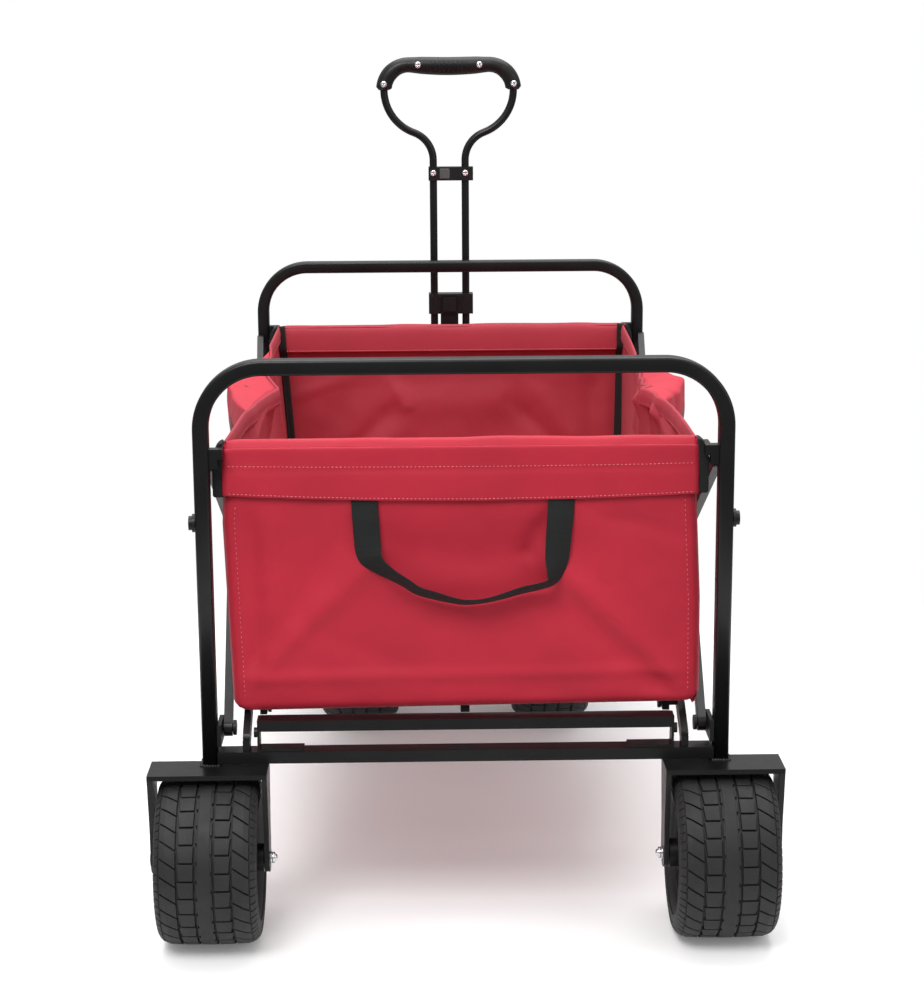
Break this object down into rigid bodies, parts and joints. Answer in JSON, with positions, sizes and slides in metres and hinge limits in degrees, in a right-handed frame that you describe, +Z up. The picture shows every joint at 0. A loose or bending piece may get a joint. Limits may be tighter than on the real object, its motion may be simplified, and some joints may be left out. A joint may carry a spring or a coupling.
{
  "type": "folding wagon with pull handle",
  "caption": "Folding fabric utility wagon with wide wheels, tubular hoops at both ends, side scissor bars and a telescoping pull handle.",
  "frame": {"origin": "on the ground, under the middle of the wagon's outer box", "axes": "+X to the right seen from the rear, +Y towards the pull handle, +Z up"},
  "size_m": [0.632, 1.016, 0.85],
  "materials": {
    "frame_black": "gloss",
    "red_fabric": "matte",
    "black_webbing": "matte",
    "tyre_rubber": "matte",
    "rim_plastic": "satin",
    "black_plastic": "satin",
    "grip_rubber": "satin",
    "bright_steel": "polished",
    "dark_steel": "satin",
    "floor_board": "matte"
  },
  "bodies": {
    "rear_frame": {"rear_hoop": "frame_black", "rear_lower_rail": "frame_black", "rear_support_rail": "frame_black", "rear_rail_brackets": "frame_black", "rear_fork_left": "frame_black", "rear_fork_right": "frame_black", "rear_axle_bolts": "bright_steel", "rear_pivots": "dark_steel", "rear_platform_arms": "frame_black", "rear_hem_rail": "frame_black", "post_knobs": "black_plastic", "end_wall_rear": "red_fabric", "side_wall_left": "red_fabric", "side_wall_right": "red_fabric", "carry_strap": "black_webbing", "corner_pads_rear": "black_webbing"},
    "rear_wheel_left": {"rear_tyre_left": "tyre_rubber", "rear_rim_left": "rim_plastic"},
    "rear_wheel_right": {"rear_tyre_right": "tyre_rubber", "rear_rim_right": "rim_plastic"},
    "bars_a_rear": {"bar_a_rear_left": "frame_black", "bar_a_rear_right": "frame_black", "side_rivets_rear": "dark_steel"},
    "bars_b_rear": {"bar_b_rear_left": "frame_black", "bar_b_rear_right": "frame_black"},
    "bars_a_front": {"bar_a_front_left": "frame_black", "bar_a_front_right": "frame_black", "side_rivets_front": "dark_steel"},
    "bars_b_front": {"bar_b_front_left": "frame_black", "bar_b_front_right": "frame_black"},
    "centre_cross": {"centre_tube": "frame_black", "floor_board_centre": "floor_board"},
    "platform_rear": {"platform_frame_rear": "frame_black", "floor_board_rear": "floor_board"},
    "platform_front": {"platform_frame_front": "frame_black", "floor_board_front": "floor_board"},
    "front_frame": {"front_hoop": "frame_black", "front_subframe": "frame_black", "front_pivots": "dark_steel", "front_platform_arms": "frame_black", "front_hem_rail": "frame_black", "handle_bracket": "frame_black", "end_wall_front": "red_fabric", "corner_pads_front": "black_webbing", "corner_webbing": "black_webbing"},
    "caster_left": {"caster_fork_left": "frame_black"},
    "caster_right": {"caster_fork_right": "frame_black"},
    "front_wheel_left": {"front_tyre_left": "tyre_rubber", "front_rim_left": "rim_plastic"},
    "front_wheel_right": {"front_tyre_right": "tyre_rubber", "front_rim_right": "rim_plastic"},
    "handle": {"handle_tube": "frame_black", "lock_block": "black_plastic"},
    "lock_button": {"lock_button": "black_plastic"},
    "handle_slide": {"handle_loop": "frame_black", "grip": "grip_rubber", "loop_brace": "black_plastic", "slider_block": "black_plastic", "handle_screws": "bright_steel"}
  },
  "joints": [
    {"name": "rear_wheel_left_spin", "type": "hinge", "parent": "rear_frame", "child": "rear_wheel_left", "pos_m": [-0.2535, -0.424, 0.084], "axis": [1, 0, 0], "continuous": true},
    {"name": "rear_wheel_right_spin", "type": "hinge", "parent": "rear_frame", "child": "rear_wheel_right", "pos_m": [0.2535, -0.424, 0.084], "axis": [1, 0, 0], "continuous": true},
    {"name": "fold", "type": "hinge", "parent": "rear_frame", "child": "bars_a_rear", "pos_m": [0, -0.389, 0.208], "axis": [1, 0, 0], "range_deg": [0, 48.4], "deforming": ["side_wall_left", "side_wall_right"]},
    {"name": "cross_rear", "type": "hinge", "parent": "bars_a_rear", "child": "bars_b_rear", "pos_m": [0, -0.1815, 0.342], "axis": [1, 0, 0], "range_deg": [-97, 0]},
    {"name": "centre_pivot", "type": "hinge", "parent": "bars_b_rear", "child": "centre_cross", "pos_m": [0, 0.026, 0.208], "axis": [1, 0, 0], "range_deg": [0, 48.5]},
    {"name": "top_joint", "type": "hinge", "parent": "bars_a_rear", "child": "bars_a_front", "pos_m": [0, 0.026, 0.476], "axis": [1, 0, 0], "range_deg": [-97, 0]},
    {"name": "cross_front", "type": "hinge", "parent": "bars_a_front", "child": "bars_b_front", "pos_m": [0, 0.2335, 0.342], "axis": [1, 0, 0], "range_deg": [0, 97]},
    {"name": "front_pivot", "type": "hinge", "parent": "bars_a_front", "child": "front_frame", "pos_m": [0, 0.441, 0.208], "axis": [1, 0, 0], "range_deg": [0, 48.5]},
    {"name": "floor_rear_pivot", "type": "hinge", "parent": "rear_frame", "child": "platform_rear", "pos_m": [0, -0.371, 0.224], "axis": [1, 0, 0], "range_deg": [0, 90.1]},
    {"name": "floor_front_pivot", "type": "hinge", "parent": "front_frame", "child": "platform_front", "pos_m": [0, 0.423, 0.224], "axis": [1, 0, 0], "range_deg": [-90.1, 0]},
    {"name": "caster_left_swivel", "type": "hinge", "parent": "front_frame", "child": "caster_left", "pos_m": [-0.124, 0.336, 0.185], "axis": [0, 0, 1], "continuous": true},
    {"name": "caster_right_swivel", "type": "hinge", "parent": "front_frame", "child": "caster_right", "pos_m": [0.124, 0.336, 0.185], "axis": [0, 0, 1], "continuous": true},
    {"name": "front_wheel_left_spin", "type": "hinge", "parent": "caster_left", "child": "front_wheel_left", "pos_m": [-0.124, 0.291, 0.084], "axis": [1, 0, 0], "continuous": true},
    {"name": "front_wheel_right_spin", "type": "hinge", "parent": "caster_right", "child": "front_wheel_right", "pos_m": [0.124, 0.291, 0.084], "axis": [1, 0, 0], "continuous": true},
    {"name": "handle_tip", "type": "hinge", "parent": "front_frame", "child": "handle", "pos_m": [0, 0.498, 0.212], "axis": [-1, 0, 0], "range_deg": [0, 100]},
    {"name": "handle_extend", "type": "slide", "parent": "handle", "child": "handle_slide", "axis": [0, 0, 1], "range_m": [0, 0.22]},
    {"name": "button_press", "type": "slide", "parent": "handle", "child": "lock_button", "axis": [0, 1, 0], "range_m": [0, 0.004], "stiffness_N_per_m": 300, "springref_m": -0.002}
  ],
  "couplings": [
    {"joint": "cross_rear", "follows": "fold", "ratio": -2},
    {"joint": "centre_pivot", "follows": "fold", "ratio": 1},
    {"joint": "top_joint", "follows": "fold", "ratio": -2},
    {"joint": "cross_front", "follows": "fold", "ratio": 2},
    {"joint": "front_pivot", "follows": "fold", "ratio": 1},
    {"joint": "floor_rear_pivot", "follows": "fold", "ratio": 1.8595},
    {"joint": "floor_front_pivot", "follows": "fold", "ratio": -1.8595}
  ]
}
